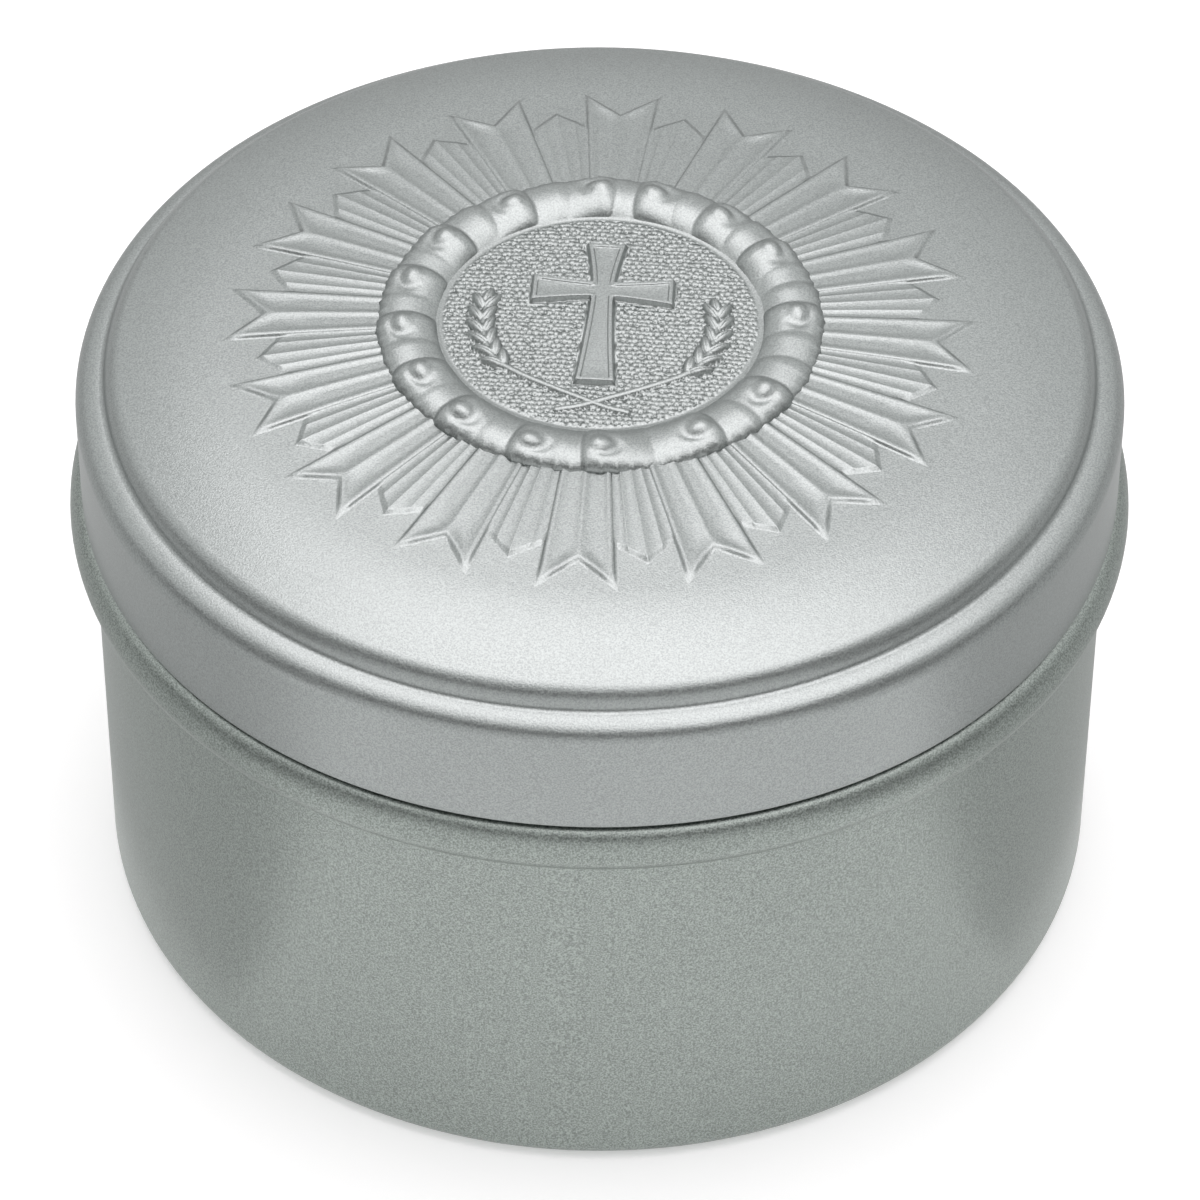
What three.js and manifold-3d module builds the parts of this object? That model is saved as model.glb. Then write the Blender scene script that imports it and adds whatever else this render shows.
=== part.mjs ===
// A round host box: a deep-drawn cup with a stop bead, and a lift-off lid struck with a sunburst.
import * as THREE from "three";
import { mergeVertices } from "three/addons/utils/BufferGeometryUtils.js";
import Module from "manifold-3d";

const wasm = await Module();
wasm.setup();

// Driving dimensions, in millimetres and degrees. The base stands on z = 0 and the axis is +Z.

// Cup
const wallRadius = 68.7; // outside of the wall and of the neck
const cupSheet = 1.0;
const baseFillet = 3.0; // outside corner between base and wall
const beadHeight = 60.6; // the stop bead's widest circle above the base
const beadReach = 3.0; // how far the bead stands out from the wall
const beadRise = 4.2; // bead above its widest circle
const beadFall = 2.8; // bead below its widest circle
const neckLength = 15.0; // mouth above the bead's widest circle

// Lid
const lidSheet = 1.0;
const lidClearance = 0.3; // radial gap between neck and skirt
const seatGap = 0.3; // lid's edge above the bead's top
const skirtHeight = 13.6; // lid's edge to the start of the rim's rounding
const rimRadius = 3.15; // rounding from the skirt to the crest
const crestWidth = 0.3; // flat top of the crest
const crestRadius = 1.2; // rounding from the crest down to the crease
const creaseTilt = 40; // how far the crest's inner side leans before the crease
const domeRise = 7.75; // crown's middle above the crest
const crownRadius = 675; // the shallow sphere of the crown
const shoulderWidth = 15.75; // band between the crown and the crease
const shoulderRadius = 50.3;
const knuckleRadius = 3.3; // bend from the shoulder to the dome's wall
const domeWallTilt = 75; // tilt of the dome's wall from the horizontal

// Wreath round the middle of the crown
const wreathInner = 21.6;
const wreathOuter = 30.0;
const wreathHeight = 1.9; // ring's back above the crown, in the furrows between the lobes
const lobeHeight = 1.0; // how far the lobes swell above that
const lobeCount = 18; // in each of the two rows
const lobeScallop = 0.9; // how far the furrows cut into the ring's outer edge
const lobeDrift = 0.8; // how far the lobes' sizes drift round the ring, in radians of their wave
const ringFullness = 0.7; // below 1, the ring's back is fuller than a half sine
const archHeight = 1.3; // the sheet's arch behind the ring

// Sunburst between the wreath and the shoulder
const rayCount = 16;
const rayReach = 49.2; // tips of the rays from the axis
const rayFootWidth = 6.8; // at the wreath
const rayTipWidth = 9.9;
const rayNotch = 4.4; // depth of the notch in a ray's end
const ribHeight = 0.7; // edges and middle of a ray above the crown
const fluteHeight = 0.4; // floor of a ray's two flutes
const ribShare = 0.86; // inner side of an edge rib, as a share of a ray's half width
const fluteShare = 0.44; // deepest line of a flute, as a share of a ray's half width
const rayValley = 0.4; // channel between a ray and its small neighbour
const smallRayShare = 0.8; // small ray's length as a share of a ray's
const smallRayPointShare = 0.18; // its pointed end, as a share of a ray's length
const smallRidgeHeight = 0.6;
const smallEdgeHeight = 0.2;
const struckInset = 0.7; // how much narrower the hollow is under a raised form
const struckShare = 0.7; // depth of that hollow as a share of the form's height
const rootDepth = 0.5; // how far a raised form reaches into the sheet

// Emblem inside the wreath: a cross with flared arms between two ears of wheat
const crossHeight = 28.0;
const crossSpan = 19.0;
const crossTop = 15.2; // top of the cross above the middle of the lid
const crossBarDrop = 9.6; // middle of the bar below the top
const crossWaist = 3.2; // width at the crossing
const crossFlare = 5.4; // width at the ends
const crossBow = 0.2; // how early an arm starts to flare, from 1 for straight sides
const crossRelief = 0.9;
const crossBevel = 0.4;
const earRadius = 15.6; // circle that the ears follow
const earFoot = 219; // angle of the left ear's foot
const earTip = 166; // angle of its tip
const grainPairs = 6;
const grainLength = 3.9;
const grainWidth = 1.7;
const grainHeight = 0.95;
const grainLean = 32; // grains lean out from the stalk
const grainSeat = 0.42; // a grain's middle beyond the stalk, as a share of its length
const stalkWidth = 1.1;
const stalkCrossing = 16.4; // where the two stalks cross below the middle
const stalkEnd = 4.6; // how far a stalk runs on past the crossing
const stalkDrop = 1.6; // how far it falls on that stretch

// Smoothness
const turnSegments = 48;
const bendSegments = 3;
const lobeSegments = 5;
const wreathRows = 5;
const stalkSegments = 8;

// Levels and radii that follow from the sizes above
const mouthHeight = beadHeight + neckLength;
const skirtEdge = beadHeight + beadRise + seatGap;
const lidRadius = wallRadius + lidClearance + lidSheet;
const rimHeight = skirtEdge + skirtHeight;
const crestHeight = rimHeight + rimRadius;
const crestAt = lidRadius - rimRadius;
const apexHeight = crestHeight + domeRise;
const creaseAt = crestAt - crestWidth - crestRadius * Math.sin(radians(creaseTilt));
const creaseHeight = crestHeight - crestRadius * (1 - Math.cos(radians(creaseTilt)));
const crownEdge = creaseAt - shoulderWidth;
const rayLength = rayReach - wreathOuter;

function radians(degrees) {
  return THREE.MathUtils.degToRad(degrees);
}

function degrees(angle) {
  return THREE.MathUtils.radToDeg(angle);
}

// Height and tilt of the crown's sphere at a distance from the axis.
function crown(r) {
  return apexHeight - crownRadius + Math.sqrt(crownRadius ** 2 - r ** 2);
}

function crownTilt(r) {
  return degrees(Math.asin(r / crownRadius));
}

function solidOf(geometry) {
  const bare = new THREE.BufferGeometry();
  bare.setAttribute("position", geometry.getAttribute("position"));
  bare.setIndex(geometry.index);
  const merged = mergeVertices(bare, 1e-4);
  const index = merged.index.array;
  const triangles = [];
  for (let i = 0; i < index.length; i += 3) {
    const [a, b, c] = [index[i], index[i + 1], index[i + 2]];
    if (a !== b && b !== c && c !== a) triangles.push(a, b, c);
  }
  return new wasm.Manifold(
    new wasm.Mesh({
      numProp: 3,
      vertProperties: merged.getAttribute("position").array,
      triVerts: new Uint32Array(triangles),
    }),
  );
}

function geometryOf(solid) {
  const mesh = solid.getMesh();
  const geometry = new THREE.BufferGeometry();
  geometry.setAttribute("position", new THREE.BufferAttribute(mesh.vertProperties, 3));
  geometry.setIndex(new THREE.BufferAttribute(mesh.triVerts, 1));
  return geometry;
}

function joined(solids) {
  return solids.reduce((all, one) => all.add(one));
}

// A point on a sheet's outer side, with the tilt of its outward normal from +Z, in degrees.
function point(r, z, tilt) {
  return { r, z, tilt };
}

// A round or elliptic stretch of the outer side, from one tilt to another about a centre.
function bend(centre, reach, rise, fromTilt, toTilt, steps = bendSegments) {
  return Array.from({ length: steps + 1 }, (_, i) => {
    const tilt = fromTilt + ((toTilt - fromTilt) * i) / steps;
    const [s, c] = [Math.sin(radians(tilt)), Math.cos(radians(tilt))];
    const scale = Math.hypot(reach * s, rise * c);
    return point(centre.r + (reach ** 2 * s) / scale, centre.z + (rise ** 2 * c) / scale, tilt);
  });
}

// Turns a sheet round the axis: its outer side as given from the axis out, and the inner side one
// sheet's thickness behind it.
function drawnSheet(outer, sheet) {
  const inner = outer.map(({ r, z, tilt }) => ({
    r: Math.max(0, r - sheet * Math.sin(radians(tilt))),
    z: z - sheet * Math.cos(radians(tilt)),
  }));
  const section = [...outer, ...inner.reverse()];
  const apart = section.filter((p, i) => {
    const before = section[i - 1];
    return !before || Math.hypot(p.r - before.r, p.z - before.z) > 0.01;
  });
  return turned(
    apart.map(({ r, z }) => new THREE.Vector2(r, z)),
    turnSegments,
  );
}

// A section turned round the axis. Its faces point out when it runs anticlockwise, with r to the right.
function turned(section, segments) {
  if (THREE.ShapeUtils.isClockWise(section)) section.reverse();
  const geometry = new THREE.LatheGeometry(section, segments);
  geometry.rotateX(Math.PI / 2);
  return solidOf(geometry);
}

// A closed slab between two grids of points that share their plan: top[row][column] and bottom.
function slab(top, bottom) {
  const rows = top.length;
  const columns = top[0].length;
  const positions = [...top.flat(), ...bottom.flat()].flatMap((p) => [p.x, p.y, p.z]);
  const upper = (i, j) => i * columns + j;
  const lower = (i, j) => rows * columns + upper(i, j);
  const index = [];
  const quad = (a, b, c, d) => index.push(a, b, c, a, c, d);
  for (let i = 0; i + 1 < rows; i += 1) {
    for (let j = 0; j + 1 < columns; j += 1) {
      quad(upper(i, j), upper(i, j + 1), upper(i + 1, j + 1), upper(i + 1, j));
      quad(lower(i, j), lower(i + 1, j), lower(i + 1, j + 1), lower(i, j + 1));
    }
  }
  for (let j = 0; j + 1 < columns; j += 1) {
    quad(lower(0, j), lower(0, j + 1), upper(0, j + 1), upper(0, j));
    quad(upper(rows - 1, j), upper(rows - 1, j + 1), lower(rows - 1, j + 1), lower(rows - 1, j));
  }
  for (let i = 0; i + 1 < rows; i += 1) {
    quad(upper(i, 0), upper(i + 1, 0), lower(i + 1, 0), lower(i, 0));
    const last = columns - 1;
    quad(lower(i, last), lower(i + 1, last), upper(i + 1, last), upper(i, last));
  }
  const geometry = new THREE.BufferGeometry();
  geometry.setAttribute("position", new THREE.Float32BufferAttribute(positions, 3));
  geometry.setIndex(index);
  return solidOf(geometry);
}

// A raised form that runs out along +Y: each column has a share of the half width and a height over
// the crown, and runs from the foot to its own end.
function rayForm(columns, foot, endOf, halfWidthAt, heightShare) {
  const row = (share, sink) =>
    columns.map(({ across, height }) => {
      const y = foot + (endOf(Math.abs(across)) - foot) * share;
      const x = across * halfWidthAt(y);
      const rise = sink ? -rootDepth : height * heightShare;
      return new THREE.Vector3(x, y, crown(Math.hypot(x, y)) + rise);
    });
  return slab([row(0, false), row(1, false)], [row(0, true), row(1, true)]);
}

// A big ray: ribs along its edges and middle, two flutes between, and a notched end.
function bigRay(inset, heightShare) {
  const columns = [
    { across: -1, height: ribHeight },
    { across: -ribShare, height: ribHeight },
    { across: -fluteShare, height: fluteHeight },
    { across: 0, height: ribHeight },
    { across: fluteShare, height: fluteHeight },
    { across: ribShare, height: ribHeight },
    { across: 1, height: ribHeight },
  ];
  const foot = wreathOuter - lidSheet + inset;
  const endOf = (across) => rayReach - inset - rayNotch * (1 - across);
  const halfWidthAt = (y) => bigRayHalfWidth(y) - inset;
  return rayForm(columns, foot, endOf, halfWidthAt, heightShare);
}

function bigRayHalfWidth(y) {
  const share = (y - wreathOuter) / rayLength;
  return (rayFootWidth + (rayTipWidth - rayFootWidth) * share) / 2;
}

// A small ray: two facets that rise to a ridge, between its big neighbours' sides, with a point.
function smallRay(inset, heightShare) {
  const columns = [
    { across: -1, height: smallEdgeHeight },
    { across: 0, height: smallRidgeHeight },
    { across: 1, height: smallEdgeHeight },
  ];
  const foot = wreathOuter - lidSheet + inset;
  const tip = wreathOuter + rayLength * smallRayShare - inset;
  const endOf = (across) => tip - rayLength * smallRayPointShare * across;
  const halfWidthAt = (y) => smallRayHalfWidth(y) - inset;
  return rayForm(columns, foot, endOf, halfWidthAt, heightShare);
}

// Half the room between two big rays, measured square to the line midway between them.
function smallRayHalfWidth(y) {
  const half = Math.PI / rayCount;
  const slope = (rayTipWidth - rayFootWidth) / rayLength / 2;
  const start = rayFootWidth / 2 - slope * wreathOuter;
  const along = (y - start * Math.sin(half)) / (Math.cos(half) + slope * Math.sin(half));
  return along * Math.sin(half) - (start + slope * along) * Math.cos(half) - rayValley;
}

function aroundAxis(solid, count, offset) {
  return Array.from({ length: count }, (_, i) => solid.rotate([0, 0, (360 / count) * (i + offset)]));
}

function sunburst(inset, heightShare) {
  return joined([
    ...aroundAxis(bigRay(inset, heightShare), rayCount, 0),
    ...aroundAxis(smallRay(inset, heightShare), rayCount, 0.5),
  ]);
}

// A rounded boss that lies on the lid, half sunk, turned about +Z.
function boss(x, y, z, length, width, height, turn) {
  const ball = new THREE.SphereGeometry(1, 6, 4);
  ball.rotateX(Math.PI / 2);
  ball.scale(length / 2, width / 2, height);
  ball.rotateZ(turn);
  ball.translate(x, y, z);
  return solidOf(ball);
}

// The wreath: a ring of two staggered rows of rounded lobes, whose sizes vary a little round it. Its
// section runs over the back from the outer edge to the inner one and returns inside the arched sheet.
function wreath() {
  const span = wreathOuter - wreathInner;
  const section = [];
  for (let i = 0; i <= wreathRows; i += 1) {
    section.push(new THREE.Vector2(wreathOuter - (span * i) / wreathRows, 0));
  }
  for (const r of [wreathInner, wreathInner + span / 2, wreathOuter, wreathOuter]) {
    section.push(new THREE.Vector2(r, 0));
  }
  const ring = new THREE.LatheGeometry(section, lobeCount * lobeSegments);
  ring.rotateX(Math.PI / 2);
  const place = ring.getAttribute("position");
  for (let i = 0; i < place.count; i += 1) {
    const row = i % section.length;
    const inSheet = row > wreathRows && row < section.length - 1;
    const [x, y] = [place.getX(i), place.getY(i)];
    const r = Math.hypot(x, y);
    const across = (r - wreathInner) / span;
    const turn = Math.atan2(y, x);
    const drift = lobeDrift * (Math.sin(3 * turn) + Math.cos(5 * turn) / 2);
    const phase = (lobeCount * turn + drift) / 2;
    const outerLobe = Math.abs(Math.cos(phase));
    const innerLobe = Math.abs(Math.sin(phase));
    const outward = THREE.MathUtils.smoothstep(across, 0, 1);
    const swell = outerLobe * outward + innerLobe * (1 - outward);
    const back = Math.max(0, Math.sin(Math.PI * across)) ** ringFullness;
    const arch = archHeight * 4 * across * (1 - across);
    const rise = inSheet ? arch - rootDepth : back * (wreathHeight + lobeHeight * swell);
    const cut = lobeScallop * (outerLobe - 1) * across;
    const stretched = (r + cut) / r;
    place.setXYZ(i, x * stretched, y * stretched, crown(r) + rise);
  }
  return solidOf(ring);
}

// The cross's outline, with arms that flare to their ends.
function crossOutline(inset) {
  const bar = crossTop - crossBarDrop;
  const waist = crossWaist / 2 - inset;
  const flare = crossFlare / 2 - inset;
  const arms = [
    { length: crossBarDrop, turn: Math.PI / 2 },
    { length: crossSpan / 2, turn: Math.PI },
    { length: crossHeight - crossBarDrop, turn: -Math.PI / 2 },
    { length: crossSpan / 2, turn: 0 },
  ];
  const shape = new THREE.Shape();
  arms.forEach(({ length, turn }, i) => {
    const place = (along, side) => [
      along * Math.cos(turn) - side * Math.sin(turn),
      bar + along * Math.sin(turn) + side * Math.cos(turn),
    ];
    const end = length - inset;
    const half = waist + (flare - waist) * crossBow;
    const root = place(waist, -waist);
    if (i === 0) shape.moveTo(...root);
    else shape.lineTo(...root);
    shape.quadraticCurveTo(...place(length / 2, -half), ...place(end, -flare));
    shape.lineTo(...place(end, flare));
    shape.quadraticCurveTo(...place(length / 2, half), ...place(waist, waist));
  });
  return shape;
}

function crossForm(inset, relief) {
  const depth = rootDepth + relief - crossBevel;
  const form = new THREE.ExtrudeGeometry(crossOutline(inset + crossBevel), {
    depth,
    curveSegments: 4,
    bevelSize: crossBevel,
    bevelThickness: crossBevel,
    bevelSegments: 1,
  });
  form.translate(0, 0, apexHeight - rootDepth);
  return solidOf(form);
}

// A stalk of wheat from the foot of its ear to past the crossing, and the grains along the ear.
// side is -1 for the ear on the left and 1 for the one on the right.
function wheat(side) {
  const onCircle = (angle) => {
    const turn = radians(angle);
    return new THREE.Vector2(-side * earRadius * Math.cos(turn), earRadius * Math.sin(turn));
  };
  const grains = [];
  for (let i = 0; i <= grainPairs; i += 1) {
    const angle = earFoot + ((earTip - earFoot) * i) / grainPairs;
    const at = onCircle(angle);
    const heading = Math.atan2(at.y, at.x) - (side * -1 * Math.PI) / 2;
    const leans = i === grainPairs ? [0] : [-1, 1];
    for (const lean of leans) {
      const turn = heading + lean * radians(grainLean);
      const out = i === grainPairs ? 0 : grainLength * grainSeat;
      const x = at.x + out * Math.cos(turn);
      const y = at.y + out * Math.sin(turn);
      const level = crown(Math.hypot(x, y));
      grains.push(boss(x, y, level, grainLength, grainWidth, grainHeight, turn));
    }
  }
  const foot = onCircle(earFoot);
  const tip = onCircle(earTip);
  const bow = onCircle((earFoot + earTip) / 2);
  const over = -side * stalkEnd;
  const level = crown(earRadius);
  const route = new THREE.CatmullRomCurve3(
    [
      [over, -stalkCrossing - stalkDrop],
      [0, -stalkCrossing],
      [foot.x, foot.y],
      [bow.x, bow.y],
      [tip.x, tip.y],
    ].map(([x, y]) => new THREE.Vector3(x, y, level)),
  );
  const section = new THREE.Shape();
  section.absarc(0, 0, stalkWidth / 2, 0, 2 * Math.PI, false);
  const stalk = new THREE.ExtrudeGeometry(section, {
    steps: stalkSegments,
    extrudePath: route,
    curveSegments: 2,
    bevelEnabled: false,
  });
  return joined([solidOf(stalk), ...grains]);
}

// Where a bend of the knuckle's radius touches both the shoulder's circle and the dome's wall.
function knuckleCentre(shoulder) {
  const [s, c] = [Math.sin(radians(domeWallTilt)), Math.cos(radians(domeWallTilt))];
  const start = { r: creaseAt - knuckleRadius * s, z: creaseHeight - knuckleRadius * c };
  const away = { r: start.r - shoulder.r, z: start.z - shoulder.z };
  const along = { r: -c, z: s };
  const across = away.r * along.r + away.z * along.z;
  const reach = (shoulderRadius - knuckleRadius) ** 2 - (away.r ** 2 + away.z ** 2);
  const step = -across + Math.sqrt(across ** 2 + reach);
  return { r: start.r + along.r * step, z: start.z + along.z * step };
}

// The cup: flat base, rounded corner, straight wall, stop bead and neck, as one sheet.
function cup() {
  const corner = { r: wallRadius - baseFillet, z: baseFillet };
  const bead = { r: wallRadius, z: beadHeight };
  const outer = [
    point(0, 0, 180),
    ...bend(corner, baseFillet, baseFillet, 180, 90),
    point(wallRadius, beadHeight - beadFall, 90),
    point(wallRadius, beadHeight - beadFall, 135),
    ...bend(bead, beadReach, beadFall, 180, 90),
    ...bend(bead, beadReach, beadRise, 90, 0).slice(1),
    point(wallRadius, beadHeight + beadRise, 45),
    point(wallRadius, beadHeight + beadRise, 90),
    point(wallRadius, mouthHeight, 90),
  ];
  return drawnSheet(outer, cupSheet);
}

// The lid's sheet: crown, wreath ring, shoulder, dome wall, crease, rim crest and skirt.
function lidShell() {
  const middle = (wreathInner + wreathOuter) / 2;
  const half = (wreathOuter - wreathInner) / 2;
  const ringRadius = (half ** 2 + archHeight ** 2) / (2 * archHeight);
  const ringTilt = degrees(Math.asin(half / ringRadius));
  const lean = crownTilt(middle);
  const sink = ringRadius - archHeight;
  const ring = {
    r: middle - sink * Math.sin(radians(lean)),
    z: crown(middle) - sink * Math.cos(radians(lean)),
  };
  const edgeTilt = crownTilt(crownEdge);
  const shoulder = {
    r: crownEdge - shoulderRadius * Math.sin(radians(edgeTilt)),
    z: crown(crownEdge) - shoulderRadius * Math.cos(radians(edgeTilt)),
  };
  const knuckle = knuckleCentre(shoulder);
  const shoulderTilt = degrees(Math.atan2(knuckle.r - shoulder.r, knuckle.z - shoulder.z));
  const crest = { r: crestAt - crestWidth, z: crestHeight - crestRadius };
  const rim = { r: crestAt, z: rimHeight };
  const outer = [
    point(0, apexHeight, 0),
    ...bend(ring, ringRadius, ringRadius, lean - ringTilt, lean + ringTilt, 4),
    ...bend(shoulder, shoulderRadius, shoulderRadius, edgeTilt, shoulderTilt, 3),
    ...bend(knuckle, knuckleRadius, knuckleRadius, shoulderTilt, domeWallTilt, 2).slice(1),
    point(creaseAt, creaseHeight, domeWallTilt),
    point(creaseAt, creaseHeight, (domeWallTilt - creaseTilt) / 2),
    ...bend(crest, crestRadius, crestRadius, -creaseTilt, 0, 1),
    ...bend(rim, rimRadius, rimRadius, 0, 90),
    point(lidRadius, skirtEdge, 90),
  ];
  return drawnSheet(outer, lidSheet);
}

function lid() {
  const raised = joined([
    lidShell(),
    sunburst(0, 1),
    wreath(),
    crossForm(0, crossRelief),
    wheat(-1),
    wheat(1),
  ]);
  const hollows = joined([
    sunburst(struckInset, struckShare),
    crossForm(struckInset, crossRelief * struckShare),
  ]);
  return raised.subtract(hollows.translate([0, 0, -lidSheet]));
}

function piece(name, solid, material) {
  const mesh = new THREE.Mesh(geometryOf(solid), material);
  mesh.name = name;
  return mesh;
}

const cupMetal = new THREE.MeshStandardMaterial({
  color: 0xa4a9a6,
  roughness: 0.42,
  metalness: 1,
});
const lidMetal = new THREE.MeshStandardMaterial({
  color: 0xb2b5b3,
  roughness: 0.38,
  metalness: 1,
});

const hostBox = new THREE.Group();
hostBox.add(piece("box_body", cup(), cupMetal));
hostBox.add(piece("lid", lid(), lidMetal));

export default hostBox;
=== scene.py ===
import math

import bpy
import numpy as np
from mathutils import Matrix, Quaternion, Vector
from mathutils.geometry import delaunay_2d_cdt


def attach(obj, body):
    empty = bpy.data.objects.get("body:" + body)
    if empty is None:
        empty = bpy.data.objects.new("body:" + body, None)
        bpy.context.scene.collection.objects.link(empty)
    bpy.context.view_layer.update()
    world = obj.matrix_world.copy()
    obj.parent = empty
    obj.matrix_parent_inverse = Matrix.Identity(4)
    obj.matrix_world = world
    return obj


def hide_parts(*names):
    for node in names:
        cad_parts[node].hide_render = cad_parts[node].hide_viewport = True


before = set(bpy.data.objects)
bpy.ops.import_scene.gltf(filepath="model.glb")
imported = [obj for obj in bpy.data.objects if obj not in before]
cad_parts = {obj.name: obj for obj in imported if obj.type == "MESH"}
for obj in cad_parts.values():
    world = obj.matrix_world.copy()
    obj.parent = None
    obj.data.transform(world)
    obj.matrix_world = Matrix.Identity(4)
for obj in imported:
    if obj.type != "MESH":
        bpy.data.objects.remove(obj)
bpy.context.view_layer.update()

# A round host box in satin metal: a drawn cup with a stop bead, and a lift-off lid struck in relief.
# Sizes are in millimetres and degrees unless a name says otherwise. Meshes are made in metres.
MM = 0.001

# Cup
WALL_RADIUS = 68.7
CUP_SHEET = 1.0
BASE_FILLET = 3.0
BEAD_HEIGHT = 60.6
BEAD_REACH = 3.0
BEAD_RISE = 3.98
BEAD_FALL = 3.1
BEAD_TOP_TILT = 18.0  # where the bead starts from the neck
BEAD_FOOT_TILT = 146.0  # where the bead's back turns into its hollow foot
BEAD_COVE = 0.7  # hollow bend between the bead and the wall below it
NECK_FOOT = 0.15  # hollow between the neck and the bead
NECK_LENGTH = 15.0

# Lid
LID_SHEET = 1.0
LID_CLEARANCE = 0.3
SEAT_GAP = 0.52
SKIRT_HEIGHT = 13.7
SKIRT_EDGE_RADIUS = 0.2
RIM_RADIUS = 3.0
LEDGE_RADIUS = 4.6  # of the rim's flatter top
LEDGE_TILT = 7.0  # of the rim's top where the crease runs into it
LEDGE_END = 30.0  # tilt at which the rim's top turns into its tighter bend
CREASE_RADIUS = 0.9
DOME_RISE = 7.8
CROWN_RADIUS = 675.0
SHOULDER_WIDTH = 16.97
SHOULDER_RADIUS = 56.0
KNUCKLE_RADIUS = 3.3
DOME_WALL_TILT = 75.0

# Levels and radii that follow from the sizes above
MOUTH_HEIGHT = BEAD_HEIGHT + NECK_LENGTH
SKIRT_EDGE = BEAD_HEIGHT + BEAD_RISE + SEAT_GAP
LID_RADIUS = WALL_RADIUS + LID_CLEARANCE + LID_SHEET
RIM_HEIGHT = SKIRT_EDGE + SKIRT_HEIGHT
CREST_HEIGHT = RIM_HEIGHT + RIM_RADIUS
CREST_AT = LID_RADIUS - RIM_RADIUS
APEX_HEIGHT = CREST_HEIGHT + DOME_RISE
CROWN_EDGE = CREST_AT - SHOULDER_WIDTH
EDGE_TILT = math.asin(CROWN_EDGE / CROWN_RADIUS)
EDGE_LEVEL = APEX_HEIGHT - CROWN_RADIUS * (1 - math.cos(EDGE_TILT))
SHOULDER_CENTRE = (
    CROWN_EDGE - SHOULDER_RADIUS * math.sin(EDGE_TILT),
    EDGE_LEVEL - SHOULDER_RADIUS * math.cos(EDGE_TILT),
)

# Wreath
WREATH_INNER = 21.6
WREATH_OUTER = 30.0
WREATH_CREST = 25.8  # circle of the ring's highest line
WREATH_EDGE = 29.4  # outer edge between the lobes
WREATH_BASE = 0.95  # height of the ring under the lobes

# Sunburst
RAY_COUNT = 16
RAY_REACH = 49.2
RAY_FOOT_WIDTH = 6.8
RAY_TIP_WIDTH = 9.9
RAY_NOTCH = 4.4
RAY_HEIGHT = 0.42
RAY_WALL = 0.8  # width in plan of a ray's rounded side wall
EDGE_RIB = 0.64  # from a ray's side to its flute
MIDDLE_RIB = 0.14  # half width of the rib between the two flutes
FLUTE_DEPTH = 0.2
FLUTE_END = 1.6  # length over which a flute runs out at the notched end
SMALL_RAY_SHARE = 0.8
SMALL_RAY_POINT_SHARE = 0.18
SMALL_RIDGE_HEIGHT = 0.46
SMALL_RIB_HEIGHT = 0.38
SMALL_EDGE_HEIGHT = 0.26
SMALL_RIB_SHARE = 0.56  # place of the rib between the middle ridge and the big ray's side
SMALL_FLUTE_DEPTH = 0.1
SMALL_WALL = 0.85
SIDE_LIP = 0.4  # share of a big ray's height that its side wall climbs in a steep lip
END_LIP = 0.14  # the same for its notched end
LIP_CHANGE = 3.0  # length over which the one turns into the other
LIP_WIDTH = 0.22  # half width of the lip, as a share of the wall's width

# Meshes
TURN_COLUMNS = 192
SUNBURST_INSIDE = 27.5  # circle under the wreath from which the sunburst's mesh starts
SUNBURST_OUTSIDE = 52.0  # circle on the shoulder where the turned rows take over
LONGEST_STEP = 2.5  # of a line in plan
FLUTE_END_STEP = 0.6  # the same where a flute runs out
SMALL_END_STEP = 0.8  # the same at a small ray's end
CROSS_STEP = 1.0  # the same round the cross
FLUTE_BESIDE = 0.1  # from a flute's edge to the line beside it
JOINED = 1e-5  # points in plan that are closer than this are one
SHOULDER_ROWS = (47.5, 49, 50.5, 51.3)  # circles of the sunburst's mesh outside the rays
CUP_ROWS = (40.0, 22.0)  # levels on the wall
CUP_INNER_ROW = 35.0
ROW_GAP = 0.3  # from the mouth's bend to the row of vertices beside it
BASE_ROW = 8.0  # from the corner's bend to the last row of vertices on the base
SAME_PLACE = 1e-3  # how far a vertex of a circle can lie off it


def sin_cos(angle):
    """Sine and cosine of an angle in degrees."""
    return math.sin(math.radians(angle)), math.cos(math.radians(angle))


def crown(r):
    """Height of the lid's plain face, from the middle to the knuckle."""
    sphere = APEX_HEIGHT - CROWN_RADIUS + np.sqrt(CROWN_RADIUS**2 - np.minimum(r, CROWN_EDGE) ** 2)
    out = np.maximum(r - SHOULDER_CENTRE[0], 0)
    arc = SHOULDER_CENTRE[1] + np.sqrt(np.maximum(SHOULDER_RADIUS**2 - out**2, 0))
    return np.where(r < CROWN_EDGE, sphere, arc)


# Turned profiles: points of (r, z, tilt), where tilt is the outward normal's lean from +Z.
def bend(centre, reach, rise, start, end, steps):
    """A bulging bend: part of an ellipse with two half axes, between two tilts."""
    points = []
    for i in range(steps + 1):
        tilt = math.radians(start + (end - start) * i / steps)
        s, c = math.sin(tilt), math.cos(tilt)
        scale = math.hypot(reach * s, rise * c)
        points.append((centre[0] + reach**2 * s / scale, centre[1] + rise**2 * c / scale, math.degrees(tilt)))
    return points


def cove(centre, radius, start, end, steps):
    """A hollow bend: its points lie on the far side of the centre from where they face."""
    points = []
    for i in range(steps + 1):
        tilt = start + (end - start) * i / steps
        s, c = sin_cos(tilt)
        points.append((centre[0] - radius * s, centre[1] - radius * c, tilt))
    return points


def cove_to_wall(point, radius, wall, end):
    """The hollow bend that a surface runs into from a point, and that ends on a wall of a given radius."""
    r, z, tilt = point
    s, c = sin_cos(tilt)
    start_r = wall + radius * (sin_cos(end)[0] - s)
    start_z = z - (start_r - r) / c * s
    return cove((start_r + radius * s, start_z + radius * c), radius, tilt, end, 6)


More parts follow.
